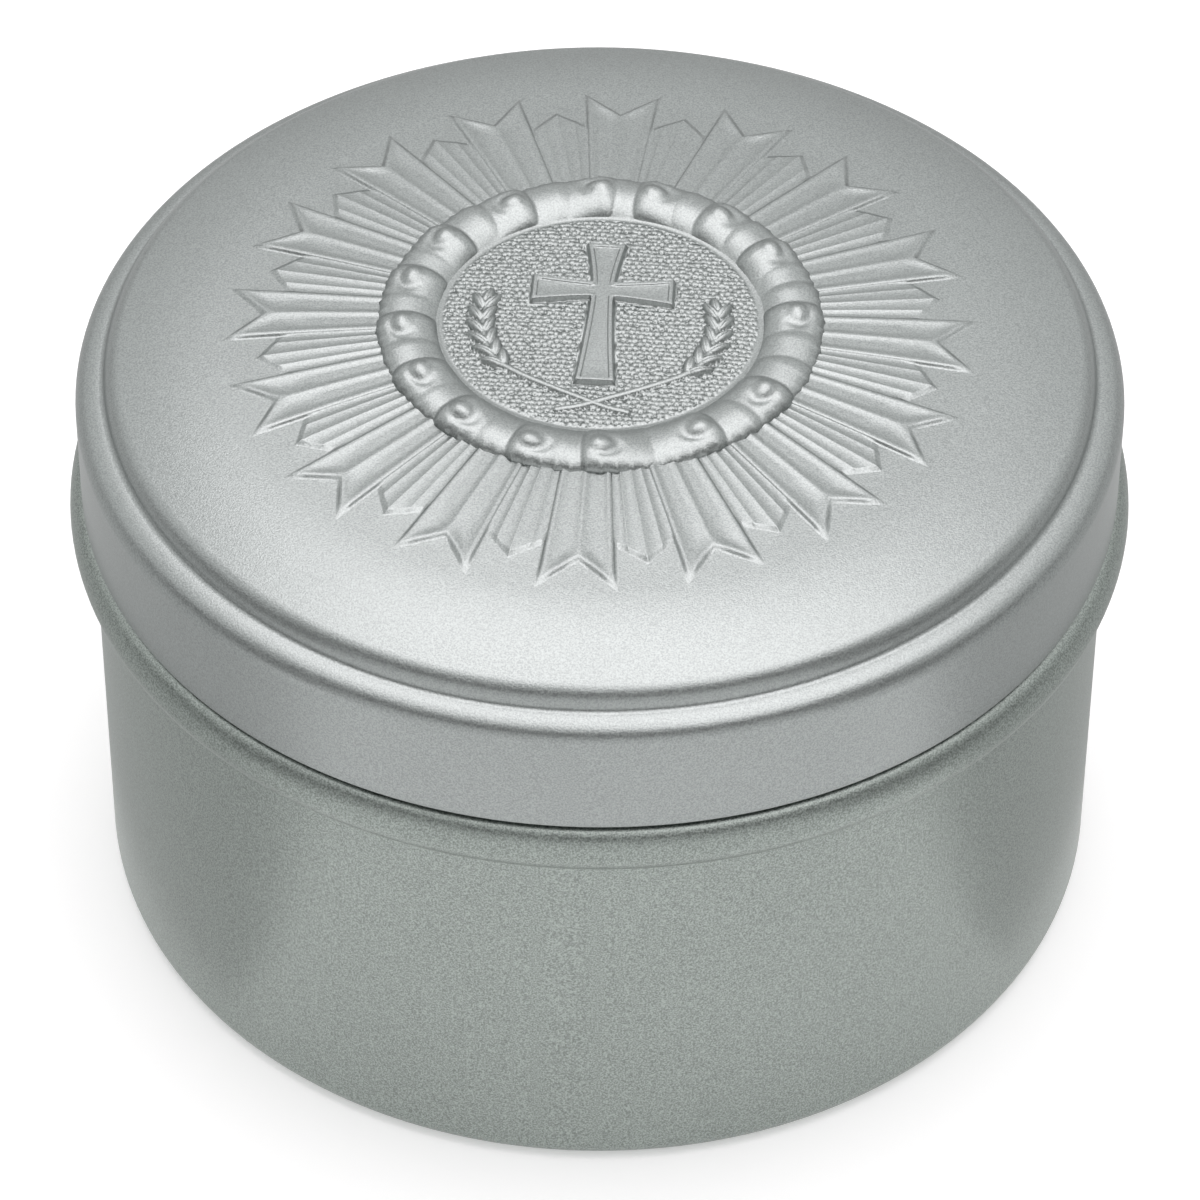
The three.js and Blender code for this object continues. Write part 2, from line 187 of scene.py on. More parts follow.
def ledge_centre():
    """The centre of the rim's flatter top, which the rim's tighter bend carries on."""
    s, c = sin_cos(LEDGE_END)
    return CREST_AT - (LEDGE_RADIUS - RIM_RADIUS) * s, RIM_HEIGHT - (LEDGE_RADIUS - RIM_RADIUS) * c


def crease_centre():
    """The centre of the hollow bend between the rim and the dome's wall."""
    s, c = sin_cos(LEDGE_TILT)
    r, z = ledge_centre()
    return r + (LEDGE_RADIUS + CREASE_RADIUS) * s, z + (LEDGE_RADIUS + CREASE_RADIUS) * c


def knuckle_centre():
    """The centre of the bend that touches the shoulder's arc and the wall above the crease."""
    s, c = sin_cos(DOME_WALL_TILT)
    start = np.array(crease_centre()) - (CREASE_RADIUS + KNUCKLE_RADIUS) * np.array([s, c])
    away = start - np.array(SHOULDER_CENTRE)
    along = np.array([-c, s])
    across = away @ along
    step = -across + math.sqrt(across**2 + (SHOULDER_RADIUS - KNUCKLE_RADIUS) ** 2 - away @ away)
    return tuple(start + along * step)


def rows_of(profile):
    """Positions and normals of a turned profile, one row for each of its points."""
    turn = 2 * math.pi * np.arange(TURN_COLUMNS) / TURN_COLUMNS
    c, s = np.cos(turn), np.sin(turn)
    r, z, tilt = np.array(profile).T
    lean = np.radians(tilt)
    return [
        np.stack([np.outer(out, c), np.outer(out, s), np.repeat(up[:, None], TURN_COLUMNS, 1)], 2)
        for out, up in ((r, z), (np.sin(lean), np.cos(lean)))
    ]


class Surface:
    """Gathers vertices with their normals, and faces, into one mesh."""

    def __init__(self):
        self.points, self.normals, self.faces = [], [], []
        self.count = 0

    def add(self, points, normals):
        start = self.count
        self.points.append(points.reshape(-1, 3))
        self.normals.append(normals.reshape(-1, 3))
        self.count += self.points[-1].shape[0]
        return np.arange(start, self.count)

    def strip(self, inner, outer):
        """Quads between two closed rows of as many vertices, with the inner row on the left hand."""
        after_inner, after_outer = np.roll(inner, -1), np.roll(outer, -1)
        self.faces += np.stack([inner, outer, after_outer, after_inner], 1).tolist()

    def turned(self, profile, before=None):
        """A turned profile, which faces to the left of its run, after a row that is there already.
        Returns its first and last row."""
        where, facing = rows_of(profile)
        ids = list(self.add(where, facing).reshape(where.shape[:2]))
        if before is not None:
            ids = [before, *ids]
        for row, following in zip(ids, ids[1:]):
            self.strip(row, following)
        return ids[0], ids[-1]

    def cap(self, row, level, facing):
        """Closes a row with a flat fan that faces up (1) or down (-1)."""
        middle = self.add(np.array([[0.0, 0.0, level]]), np.array([[0.0, 0.0, facing]]))[0]
        pairs = zip(row, np.roll(row, -1)) if facing > 0 else zip(np.roll(row, -1), row)
        self.faces += [[middle, int(a), int(b)] for a, b in pairs]

    def mesh(self, name):
        made = bpy.data.meshes.new(name)
        points = np.concatenate(self.points) * MM
        made.from_pydata(points.tolist(), [], self.faces)
        made.polygons.foreach_set("use_smooth", [True] * len(made.polygons))
        normals = np.concatenate(self.normals)
        normals /= np.linalg.norm(normals, axis=1)[:, None]
        made.normals_split_custom_set_from_vertices(normals.tolist())
        made.update()
        return made


def added(name, data):
    """A new object in the scene."""
    thing = bpy.data.objects.new(name, data)
    bpy.context.scene.collection.objects.link(thing)
    return thing


def piece(name, mesh, body, node, material):
    """A part of the box, which rides on a body and shows in place of a solid."""
    thing = added(name, mesh)
    mesh.materials.append(material)
    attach(thing, body)
    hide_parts(node)


# Sunburst. A place on it is folded into half a pitch: across and along the nearest big ray.
RAY_LENGTH = RAY_REACH - WREATH_OUTER
PITCH = 2 * math.pi / RAY_COUNT
SIDE_SLOPE = (RAY_TIP_WIDTH - RAY_FOOT_WIDTH) / RAY_LENGTH / 2
SIDE_START = RAY_FOOT_WIDTH / 2 - SIDE_SLOPE * WREATH_OUTER
SIDE_COS = math.cos(math.atan(SIDE_SLOPE))
NOTCH_AT = RAY_REACH - RAY_NOTCH
NOTCH_SLOPE = RAY_NOTCH / (RAY_TIP_WIDTH / 2)
NOTCH_COS = math.cos(math.atan(NOTCH_SLOPE))
SMALL_SIN, SMALL_COS = math.sin(PITCH / 2), math.cos(PITCH / 2)
SMALL_TIP = WREATH_OUTER + RAY_LENGTH * SMALL_RAY_SHARE
SMALL_SLOPE = (SMALL_SIN - SIDE_SLOPE * SMALL_COS) / (SMALL_COS + SIDE_SLOPE * SMALL_SIN)
SMALL_START = SIDE_START / (SMALL_COS + SIDE_SLOPE * SMALL_SIN)
SMALL_POINT = RAY_LENGTH * SMALL_RAY_POINT_SHARE
SMALL_END_SLOPE = SMALL_POINT / (SMALL_SLOPE * (SMALL_TIP - SMALL_POINT) - SMALL_START)
SMALL_END_COS = math.cos(math.atan(SMALL_END_SLOPE))


def rounded_step(distance, width):
    """A smooth climb from 0 to 1, whose middle is at distance 0."""
    return (1 + np.sin(np.pi * np.clip(distance / width, -0.5, 0.5))) / 2


def lipped_step(distance, width, lip):
    """A climb from 0 to 1 with gentle flanks, of which a share is a short steep lip in the middle."""
    flank = np.clip(2 * distance / width, -1, 1)
    gentle = flank * (1.25 - 0.25 * flank**4)  # runs flat into both ends
    steep = np.sin(np.pi / 2 * np.clip(distance / (LIP_WIDTH * width), -1, 1))
    return (1 + (1 - lip) * gentle + lip * steep) / 2


def folded(x, y):
    """Where places lie across and along the nearest big ray, and the nearest small one."""
    r = np.hypot(x, y)
    turn = np.abs((np.arctan2(x, y) + PITCH / 2) % PITCH - PITCH / 2)
    other = PITCH / 2 - turn
    return (r * np.sin(turn), r * np.cos(turn)), (r * np.sin(other), r * np.cos(other))


def big_side(across, along):
    """Distance inside a big ray's side."""
    return (SIDE_START + SIDE_SLOPE * along - across) * SIDE_COS


def big_end(across, along):
    """Distance inside a big ray's notched end."""
    return (NOTCH_AT + NOTCH_SLOPE * across - along) * NOTCH_COS


def big_inside(across, along):
    """Distance inside a big ray's outline."""
    return np.minimum(big_side(across, along), big_end(across, along))


def small_end(across, along):
    """Distance inside a small ray's pointed end."""
    return (SMALL_TIP - SMALL_END_SLOPE * across - along) * SMALL_END_COS


def big_ray(across, along):
    """Height of a big ray over the plain face."""
    side, end = big_side(across, along), big_end(across, along)
    lip = END_LIP + (SIDE_LIP - END_LIP) * np.clip((end - side) / LIP_CHANGE, 0, 1)
    flute_side = SIDE_START + SIDE_SLOPE * along - EDGE_RIB
    share = 2 * (across - MIDDLE_RIB) / (flute_side - MIDDLE_RIB) - 1
    run_out = 1 - (1 - np.clip((end - EDGE_RIB) / FLUTE_END, 0, 1)) ** 2
    flute = FLUTE_DEPTH * np.clip(1 - share**2, 0, 1) * run_out
    return RAY_HEIGHT * lipped_step(np.minimum(side, end), RAY_WALL, lip) - flute


def small_ray(across, along):
    """Height of a small ray, with a middle ridge, a rib on each half and four flutes."""
    share = across / (SMALL_SLOPE * along - SMALL_START)
    ribs = [0, SMALL_RIB_SHARE, 1]
    roof = np.interp(share, ribs, [SMALL_RIDGE_HEIGHT, SMALL_RIB_HEIGHT, SMALL_EDGE_HEIGHT])
    outer_place = (share - SMALL_RIB_SHARE) / (1 - SMALL_RIB_SHARE)
    place = np.where(share < SMALL_RIB_SHARE, share / SMALL_RIB_SHARE, outer_place)
    flute = SMALL_FLUTE_DEPTH * np.clip(1 - (2 * place - 1) ** 2, 0, 1)
    return (roof - flute) * lipped_step(small_end(across, along), SMALL_WALL, 0)


def sunburst(x, y):
    """Height of the lid's face outside the wreath."""
    big, small = folded(x, y)
    return crown(np.hypot(x, y)) + np.maximum(big_ray(*big), small_ray(*small))


def sampled(height, points):
    """Positions and normals on a height field at points of its plan."""
    step = 0.02
    x, y = points.T
    over_x = (height(x + step, y) - height(x - step, y)) / (2 * step)
    over_y = (height(x, y + step) - height(x, y - step)) / (2 * step)
    normals = np.stack([-over_x, -over_y, np.ones_like(x)], 1)
    return np.stack([x, y, height(x, y)], 1), normals


class Plan:
    """Gathers points and lines in plan, and turns them into triangles that keep every line."""

    def __init__(self):
        self.points, self.edges = [], []

    def line(self, points, longest=LONGEST_STEP, closed=False):
        """A run through points, cut into parts no longer than the given length."""
        points = [np.array(p, float) for p in points]
        if closed:
            points.append(points[0])
        walk = [points[0]]
        for a, b in zip(points, points[1:]):
            parts = max(1, math.ceil(np.linalg.norm(b - a) / longest))
            walk += [a + (b - a) * i / parts for i in range(1, parts + 1)]
        start = len(self.points)
        self.points += walk
        self.edges += [(i, i + 1) for i in range(start, start + len(walk) - 1)]

    def scatter(self, points):
        self.points += list(points)

    def triangles(self):
        """Points and triangles of the whole, which all turn the same way."""
        result = delaunay_2d_cdt([Vector(p) for p in self.points], self.edges, [], 1, JOINED, False)
        points = np.array([tuple(v) for v in result[0]])
        faces = np.array(result[2])
        a, b, c = points[faces[:, 0]], points[faces[:, 1]], points[faces[:, 2]]
        turn = (b - a)[:, 0] * (c - a)[:, 1] - (b - a)[:, 1] * (c - a)[:, 0]
        faces[turn < 0] = faces[turn < 0][:, ::-1]
        return points, faces


def half_pitch_lines():
    """The lines of half a pitch, from the middle of a big ray to the middle of its small neighbour.
    Each comes with the longest step along it."""
    lines = []
    start = SUNBURST_INSIDE + 0.5  # clear of the inner circle
    # Shares of a wall's width, with closer lines where it bends more
    wall = np.array([-0.5, -0.4, -0.23, -0.15, -0.07, 0.07, 0.15, 0.23, 0.4, 0.5])

    def crossing(shift, slope, distance):
        """Where the line x = shift + slope * y meets the notched end's line at a distance inside it."""
        y = (NOTCH_AT + NOTCH_SLOPE * shift - distance / NOTCH_COS) / (1 - NOTCH_SLOPE * slope)
        return shift + slope * y, y

    def ray_line(shift, slope, distance):
        return (shift + slope * start, start), crossing(shift, slope, distance)

    for distance in wall * RAY_WALL:
        shift = SIDE_START - distance / SIDE_COS
        notch = (0, NOTCH_AT - distance / NOTCH_COS)
        lines.append(([*ray_line(shift, SIDE_SLOPE, distance), notch], LONGEST_STEP))
    middle, outer = MIDDLE_RIB, SIDE_START - EDGE_RIB
    for share in (0, 0.04, 0.15, 0.33, 0.5, 0.67, 0.85, 0.96, 1):
        shift = middle + (outer - middle) * share
        lines.append((ray_line(shift, SIDE_SLOPE * share, EDGE_RIB), LONGEST_STEP))
    for shift, slope in ((middle - FLUTE_BESIDE, 0), (outer + FLUTE_BESIDE, SIDE_SLOPE)):
        lines.append((ray_line(shift, slope, EDGE_RIB), LONGEST_STEP))
    for distance in EDGE_RIB + FLUTE_END * np.array([0, 0.12, 0.35, 0.65, 1]):
        lines.append(((crossing(middle, 0, distance), crossing(outer, SIDE_SLOPE, distance)), FLUTE_END_STEP))

    def placed(across, along):
        """A place in the small ray's frame, in the big ray's."""
        return along * SMALL_SIN - across * SMALL_COS, along * SMALL_COS + across * SMALL_SIN

    for share in (0, 0.03, 0.15, 0.28, 0.4, 0.53, SMALL_RIB_SHARE, 0.59, 0.68, 0.78, 0.88, 0.97):
        end = SMALL_TIP + SMALL_WALL / 2 / SMALL_END_COS
        along = (end + SMALL_END_SLOPE * share * SMALL_START) / (1 + SMALL_END_SLOPE * share * SMALL_SLOPE)
        run = [(share * (SMALL_SLOPE * y - SMALL_START), y) for y in (start, along)]
        lines.append(([placed(*place) for place in run], LONGEST_STEP))
    for distance in wall * SMALL_WALL:
        reach = SMALL_TIP - distance / SMALL_END_COS
        along = (reach + SMALL_END_SLOPE * SMALL_START) / (1 + SMALL_END_SLOPE * SMALL_SLOPE)
        widest = SMALL_SLOPE * along - SMALL_START - RAY_WALL / 2
        run = placed(0, reach), placed(widest, reach - SMALL_END_SLOPE * widest)
        lines.append((run, SMALL_END_STEP))
    return lines


def circle(radius):
    """The places in plan of a turned row's vertices."""
    turn = 2 * math.pi * np.arange(TURN_COLUMNS) / TURN_COLUMNS
    return radius * np.stack([np.cos(turn), np.sin(turn)], 1)


def sunburst_mesh(surface):
    """Adds the sunburst's zone. Returns the rows of vertices on its inner and outer circles."""
    plan = Plan()
    half = half_pitch_lines()
    for i in range(RAY_COUNT):
        c, s = math.cos(PITCH * i), math.sin(PITCH * i)
        for mirror in (1, -1):
            for points, longest in half:
                plan.line(np.array(points) * [mirror, 1] @ np.array([[c, s], [-s, c]]), longest)
    for r in (SUNBURST_INSIDE, SUNBURST_OUTSIDE):
        plan.line(circle(r), closed=True)
    for r in SHOULDER_ROWS:
        spots = circle(r)
        big, _ = folded(*spots.T)
        plan.scatter(spots[big_inside(*big) < -RAY_WALL])
    points, faces = plan.triangles()
    faces = faces[(np.hypot(*points.T)[faces] > SUNBURST_INSIDE + SAME_PLACE).any(1)]
    ids = surface.add(*sampled(sunburst, points))
    surface.faces += ids[faces].tolist()
    return circle_of(points, ids, SUNBURST_INSIDE), circle_of(points, ids, SUNBURST_OUTSIDE)


def circle_of(points, ids, radius):
    """The vertices on a circle, in order round it from +X."""
    on_it = np.abs(np.hypot(*points.T) - radius) < SAME_PLACE
    # Rounding keeps a vertex that lies a trace below +X at the start
    turn = np.round(np.arctan2(points[on_it, 1], points[on_it, 0]) % (2 * math.pi), 5) % round(2 * math.pi, 5)
    return ids[on_it][np.argsort(turn)]


# Medallion: the granular field inside the wreath, with a cross between two ears of wheat.
FIELD_OUTSIDE = 23.0  # circle under the wreath where the field's mesh ends
FILLET_START = 21.1  # of the field's bend up to the wreath
FILLET_RADIUS = 1.2
FILLET_REACH = 0.5
GRANULE_PITCH = 0.92
GRANULE_ROW = 0.8
GRANULE_JITTER = 0.38  # share of a pitch and of a row
GRANULE_SIZE = 0.5  # half width
GRANULE_HEIGHT = 0.2
GRANULE_LEAST = (0.9, 0.75)  # the least size and height of one, as shares of the two above
GRANULE_SPREAD = (0.2, 0.25)  # by how much of them it can be larger
GRANULE_ROUNDING = 0.75
GRANULE_EDGE = 21.0  # circle where the granules end
GRANULE_FADE = 0.4
GRANULE_LENGTH = 0.9  # along Y, as a share of its width
PLAIN_HEIGHT = 0.12  # of the cross and the wheat, over which the granules fade out
WHEAT_STEP = 0.22  # of the lattice of vertices under the wheat
WHEAT_ROW = 0.866  # from row to row, in steps
CLEARING = 0.1  # from the lines of the field's mesh to the loose vertices beside them
CROSS_HEIGHT = 28.0
CROSS_SPAN = 19.0
CROSS_TOP = 15.2
CROSS_BAR_DROP = 9.6
CROSS_WAIST = 3.2
CROSS_FLARE = 5.4
CROSS_BOW = 0.2  # at 0.5 an arm's sides would be straight
CROSS_RELIEF = 0.9
CROSS_WALL = 0.6
CROSS_RIB = 0.75  # from the cross's edge to its sunk panel
CROSS_PANEL = 0.28
PANEL_WALL = 0.3
EAR_RADIUS = 15.6
EAR_FOOT = 219.0  # turn of the left ear's foot from +X
EAR_TIP = 166.0
GRAIN_PAIRS = 6
GRAIN_LENGTH = 3.9
GRAIN_WIDTH = 1.7
GRAIN_HEIGHT = 0.95
GRAIN_TAPER = 0.25
GRAIN_ROUNDING = 0.62
GRAIN_CREASE = 0.16
GRAIN_CREASE_WIDTH = 0.16  # share of the grain's half width
GRAIN_LEAN = 32.0
GRAIN_SEAT = 0.42  # from the ear's line to a grain's middle, as a share of its length
STALK_WIDTH = 1.1
STALK_CROSSING = 16.4  # from the middle of the lid down to where the stalks cross
STALK_END = 4.6  # from there sideways to a stalk's end
STALK_DROP = 1.6  # and down to it


def curve(a, b, d):
    """Points of a curve from a to before d, which b draws towards itself."""
    steps = 6
    a, b, d = np.array(a), np.array(b), np.array(d)
    return [tuple((1 - t) ** 2 * a + 2 * t * (1 - t) * b + t**2 * d) for t in np.arange(steps) / steps]


def cross_outline():
    """The cross's outline in plan, anticlockwise, with arms that flare to their ends."""
    bar = CROSS_TOP - CROSS_BAR_DROP
    waist, flare = CROSS_WAIST / 2, CROSS_FLARE / 2
    bow = waist + (flare - waist) * CROSS_BOW
    side = CROSS_SPAN / 2
    outline = []
    for length, turn in ((CROSS_BAR_DROP, 90), (side, 180), (CROSS_HEIGHT - CROSS_BAR_DROP, 270), (side, 0)):
        s, c = sin_cos(turn)

        def placed(along, aside):
            return along * c - aside * s, bar + along * s + aside * c

        outline += curve(placed(waist, -waist), placed(length / 2, -bow), placed(length, -flare))
        outline.append(placed(length, -flare))
        outline += curve(placed(length, flare), placed(length / 2, bow), placed(waist, waist))
    return np.array(outline)


CROSS = cross_outline()


def line_distance(x, y, line):
    """Distance from a run of points."""
    nearest = np.full(x.shape, np.inf)
    for (ax, ay), (bx, by) in zip(line, line[1:]):
        dx, dy = bx - ax, by - ay
        part = np.clip(((x - ax) * dx + (y - ay) * dy) / (dx * dx + dy * dy), 0, 1)
        nearest = np.minimum(nearest, np.hypot(x - ax - part * dx, y - ay - part * dy))
    return nearest


def inside_distance(points, outline):
    """Distance from a closed outline, positive inside it."""
    x, y = points
    closed = [*outline, outline[0]]
    inside = np.zeros(x.shape, bool)
    for (ax, ay), (bx, by) in zip(closed, closed[1:]):
        spans = (ay > y) != (by > y)
        rise = by - ay if by != ay else 1.0
        inside ^= spans & (x < ax + (y - ay) * (bx - ax) / rise)
    nearest = line_distance(x, y, closed)
    return np.where(inside, nearest, -nearest)


def ear_point(side, angle):
    """A place on the line of the left (-1) or the right (1) ear."""
    s, c = sin_cos(angle)
    return np.array([-side * EAR_RADIUS * c, EAR_RADIUS * s])


def grains():
    """Each grain of both ears as its middle and its heading."""
    found = []
    for side in (-1, 1):
        for i in range(GRAIN_PAIRS + 1):
            at = ear_point(side, EAR_FOOT + (EAR_TIP - EAR_FOOT) * i / GRAIN_PAIRS)
            heading = math.atan2(at[1], at[0]) + side * math.pi / 2
            last = i == GRAIN_PAIRS
            for lean in [0] if last else [-1, 1]:
                turn = heading + lean * math.radians(GRAIN_LEAN)
                out = 0 if last else GRAIN_LENGTH * GRAIN_SEAT
                found.append((at + out * np.array([math.cos(turn), math.sin(turn)]), turn))
    return found


def spline(points, steps):
    """A smooth run of points through the given ones."""
    points = np.array([2 * np.array(points[0]) - points[1], *points, 2 * np.array(points[-1]) - points[-2]])
    walk = []
    for a, b, c, d in zip(points, points[1:], points[2:], points[3:]):
        for t in np.arange(steps) / steps:
            square, cube = 2 * a - 5 * b + 4 * c - d, 3 * b - a - 3 * c + d
            walk.append(((2 * b) + (c - a) * t + square * t**2 + cube * t**3) / 2)
    return np.array(walk + [points[-2]])


def stalk(side):
    """The middle line of an ear and its stalk, from the stalk's end to the ear's tip."""
    return spline(
        [
            np.array([-side * STALK_END, -STALK_CROSSING - STALK_DROP]),
            np.array([0.0, -STALK_CROSSING]),
            ear_point(side, EAR_FOOT),
            ear_point(side, (EAR_FOOT + EAR_TIP) / 2),
            ear_point(side, EAR_TIP),
        ],
        8,
    )


GRAINS = grains()
STALKS = [stalk(-1), stalk(1)]


def wheat(x, y):
    """Height of both ears and their stalks over the plain face."""
    height = np.zeros(x.shape)
    for (cx, cy), turn in GRAINS:
        c, s = math.cos(turn), math.sin(turn)
        along = ((x - cx) * c + (y - cy) * s) / (GRAIN_LENGTH / 2)
        width = GRAIN_WIDTH / 2 * (1 - GRAIN_TAPER * along)
        across = ((y - cy) * c - (x - cx) * s) / width
        dome = np.clip(1 - along**2 - across**2, 0, 1) ** GRAIN_ROUNDING
        crease = GRAIN_CREASE * np.exp(-((across / GRAIN_CREASE_WIDTH) ** 2)) * np.clip(1 - along**2, 0, 1)
        height = np.maximum(height, GRAIN_HEIGHT * dome - crease * (dome > 0))
    for line in STALKS:
        rod = np.sqrt(np.clip(1 - (line_distance(x, y, line) / (STALK_WIDTH / 2)) ** 2, 0, 1))
        height = np.maximum(height, STALK_WIDTH / 2 * rod)
    return height


def granule(line, cell):
    """The middle, half width and height of a granule of the ground, by its row and its place in it."""
    # The large factors scramble the two numbers into two even chances.
    wobble = np.sin(cell * 12.9898 + line * 78.233) * 43758.5453
    first, second = wobble % 1, (wobble * 7.13) % 1
    x = (cell + 0.5 * (line % 2) + (first - 0.5) * GRANULE_JITTER) * GRANULE_PITCH
    y = (line + 0.5 + (second - 0.5) * GRANULE_JITTER) * GRANULE_ROW
    size = GRANULE_SIZE * (GRANULE_LEAST[0] + GRANULE_SPREAD[0] * ((first + second) % 1))
    tall = GRANULE_HEIGHT * (GRANULE_LEAST[1] + GRANULE_SPREAD[1] * second)
    return x, y, size, tall


def granules(x, y):
    """Height of the granular ground over the plain face."""
    height = np.zeros(x.shape)
    row = np.floor(y / GRANULE_ROW)
    for up in (-1, 0, 1):
        line = row + up
        column = np.floor(x / GRANULE_PITCH - 0.5 * (line % 2))
        for right in (0, 1):
            cx, cy, size, tall = granule(line, column + right)
            reach = ((x - cx) / size) ** 2 + ((y - cy) / (size * GRANULE_LENGTH)) ** 2
            height = np.maximum(height, tall * np.clip(1 - reach, 0, 1) ** GRANULE_ROUNDING)
    return height


def granule_spots():
    """Places on each granule: its middle, and two rings of six at a share of its reach."""
    rows, cells = int(GRANULE_EDGE / GRANULE_ROW) + 1, int(GRANULE_EDGE / GRANULE_PITCH) + 1
    line, cell = np.meshgrid(np.arange(-rows, rows + 1.0), np.arange(-cells, cells + 1.0), indexing="ij")
    x, y, size, _ = (v.reshape(-1) for v in granule(line, cell))
    spots = [np.stack([x, y], 1)]
    for reach, shift in ((0.55, 0), (0.96, 0.5)):
        for i in range(6):
            turn = (i + shift) * math.pi / 3
            out = reach * size
            spots.append(np.stack([x + out * math.cos(turn), y + out * math.sin(turn) * GRANULE_LENGTH], 1))
    return np.concatenate(spots)


def field(x, y):
    """Height of the lid's face inside the wreath."""
    r = np.hypot(x, y)
    fillet = FILLET_RADIUS - np.sqrt(FILLET_RADIUS**2 - np.clip(r - FILLET_START, 0, FILLET_REACH) ** 2)
    inside = inside_distance((x, y), CROSS)
    panel = CROSS_PANEL * rounded_step(inside - CROSS_RIB, PANEL_WALL)
    cross = CROSS_RELIEF * rounded_step(inside, CROSS_WALL) - panel
    emblem = np.maximum(cross, wheat(x, y))
    plain = np.clip(emblem / PLAIN_HEIGHT, 0, 1)
    fade = np.clip((GRANULE_EDGE - r) / GRANULE_FADE, 0, 1)
    return crown(r) + fillet + np.maximum(emblem, 0) + granules(x, y) * fade * (1 - plain)


def offset_outline(outline, distance):
    """The outline moved inwards, with pointed corners."""
    before, after = np.roll(outline, 1, 0), np.roll(outline, -1, 0)
    a = (outline - before) / np.linalg.norm(outline - before, axis=1)[:, None]
    b = (after - outline) / np.linalg.norm(after - outline, axis=1)[:, None]
    normal_a, normal_b = np.stack([-a[:, 1], a[:, 0]], 1), np.stack([-b[:, 1], b[:, 0]], 1)
    middle = normal_a + normal_b
    return outline + middle * (distance / (1 + (normal_a * normal_b).sum(1)))[:, None]


def field_mesh(surface):
    """Adds the field inside the wreath. Returns the row of vertices on its outer circle."""
    plan = Plan()
    walls = [share * CROSS_WALL for share in (-0.5, -0.3, -0.12, 0.12, 0.3, 0.5)]
    for distance in (*walls, CROSS_RIB - PANEL_WALL / 2, CROSS_RIB, CROSS_RIB + PANEL_WALL / 2):
        plan.line(offset_outline(CROSS, distance), longest=CROSS_STEP, closed=True)
    for r in (*np.linspace(FILLET_START, FILLET_START + FILLET_REACH, 4), FIELD_OUTSIDE):
        plan.line(circle(r), closed=True)
    rows = int(FIELD_OUTSIDE / (WHEAT_STEP * WHEAT_ROW))
    lattice = []
    for j in range(-rows, rows + 1):
        x = np.arange(-FIELD_OUTSIDE, FIELD_OUTSIDE, WHEAT_STEP) + (j % 2) * WHEAT_STEP / 2
        lattice.append(np.stack([x, np.full(x.shape, j * WHEAT_STEP * WHEAT_ROW)], 1))
    lattice = np.concatenate(lattice)
    ground = granule_spots()
    beside_cross = inside_distance(ground.T, CROSS) < -CROSS_WALL / 2 - CLEARING
    ground = ground[beside_cross & (wheat(*ground.T) == 0)]
    spots = np.concatenate([ground, lattice[wheat(*lattice.T) > 0]])
    plan.scatter(spots[np.hypot(*spots.T) < FILLET_START - CLEARING])
    points, faces = plan.triangles()
    ids = surface.add(*sampled(field, points))
    surface.faces += ids[faces].tolist()
    return circle_of(points, ids, FIELD_OUTSIDE)


# Wreath: a rounded ring under overlapping cloud-like scales, which climb it from the front to the back.
WREATH_COLUMNS = 640
WREATH_ROWS = 34
# Middles of the scales with an eye, by their turn from the front (-Y) on the left and on the right
EYED_SCALES = {-1: (-3, 17, 40, 61, 83, 104, 124, 150, 177), 1: (34, 59, 95, 124, 146, 168)}
SCALES_END = {-1: 180, 1: 188}  # where the last gap on each side ends
WIDE_GAP = 28  # turn between two of them above which two plain scales fill the gap and not one
SCALE_STEEP = 2.4  # reach of a scale ahead of its middle, where it drops to the one that it overlaps
SCALE_TAIL = 7.5  # reach behind its middle
SCALE_RISE = 1.3  # of a scale with an eye
PLAIN_RISE = 0.85
RISE_CHANGE = (0.9, 1.1)  # least and largest share of them that a scale has
SCALE_PLACE = 84  # middle of an eyed scale over the ring's back, from the outer side
PLAIN_PLACE = 76
SCALE_SWAY = 6  # by which either can differ
SCALE_OUTWARD = math.radians(107)  # reach of a scale over the ring's back to its outer side
SCALE_INWARD = math.radians(94)  # and to its inner side
OUTWARD_SOFTNESS = 0.35  # how gently a scale ends on either side
INWARD_SOFTNESS = 1.2
TAIL_SOFTNESS = 0.9
EYE_RADIUS = 1.2
EYE_STRETCH = 1.45  # along the ring
EYE_RISE = 0.4
EYE_SHIFT = 0.3  # behind the scale's middle
RING_RADIUS = 3.8  # turns the angle over the ring's back into a length
MOAT_DEPTH = 0.3
MOAT_REACH = 1.3  # eye radii from the eye's middle to the moat's deepest line
MOAT_WIDTH = 0.42  # in eye radii too
MOAT_TOWARDS = (0.8, 0.6)  # it is deepest behind the eye and towards the ring's outer side
MOAT_LEAST = 0.15  # share of its depth that it keeps on the other side
SCALLOPS = 92
SCALLOP_DEPTH = 0.26
SCALLOP_ROUNDING = 0.5
SCALLOP_TOP = math.radians(50)  # where the scallops start, from the outer side
SCALLOP_FADE = math.radians(35)


def wreath_scales():
    """Each scale as its turn from +X, its heading round the ring, its place over the back, its rise
    and whether it has an eye."""
    chance = np.random.default_rng(5)
    scales = []
    for side, turns in EYED_SCALES.items():
        for turn, following in zip(turns, (*turns[1:], SCALES_END[side])):
            plain = 2 if following - turn > WIDE_GAP else 1
            for i in range(plain + 1):
                eyed = i == 0
                at = turn + (following - turn) * i / (plain + 1)
                place = math.radians(side * at - 90)
                sway = chance.uniform(-SCALE_SWAY, SCALE_SWAY)
                over = math.radians((SCALE_PLACE if eyed else PLAIN_PLACE) + sway)
                rise = chance.uniform(*RISE_CHANGE) * (SCALE_RISE if eyed else PLAIN_RISE)
                scales.append((place, side, over, rise, eyed))
    return scales


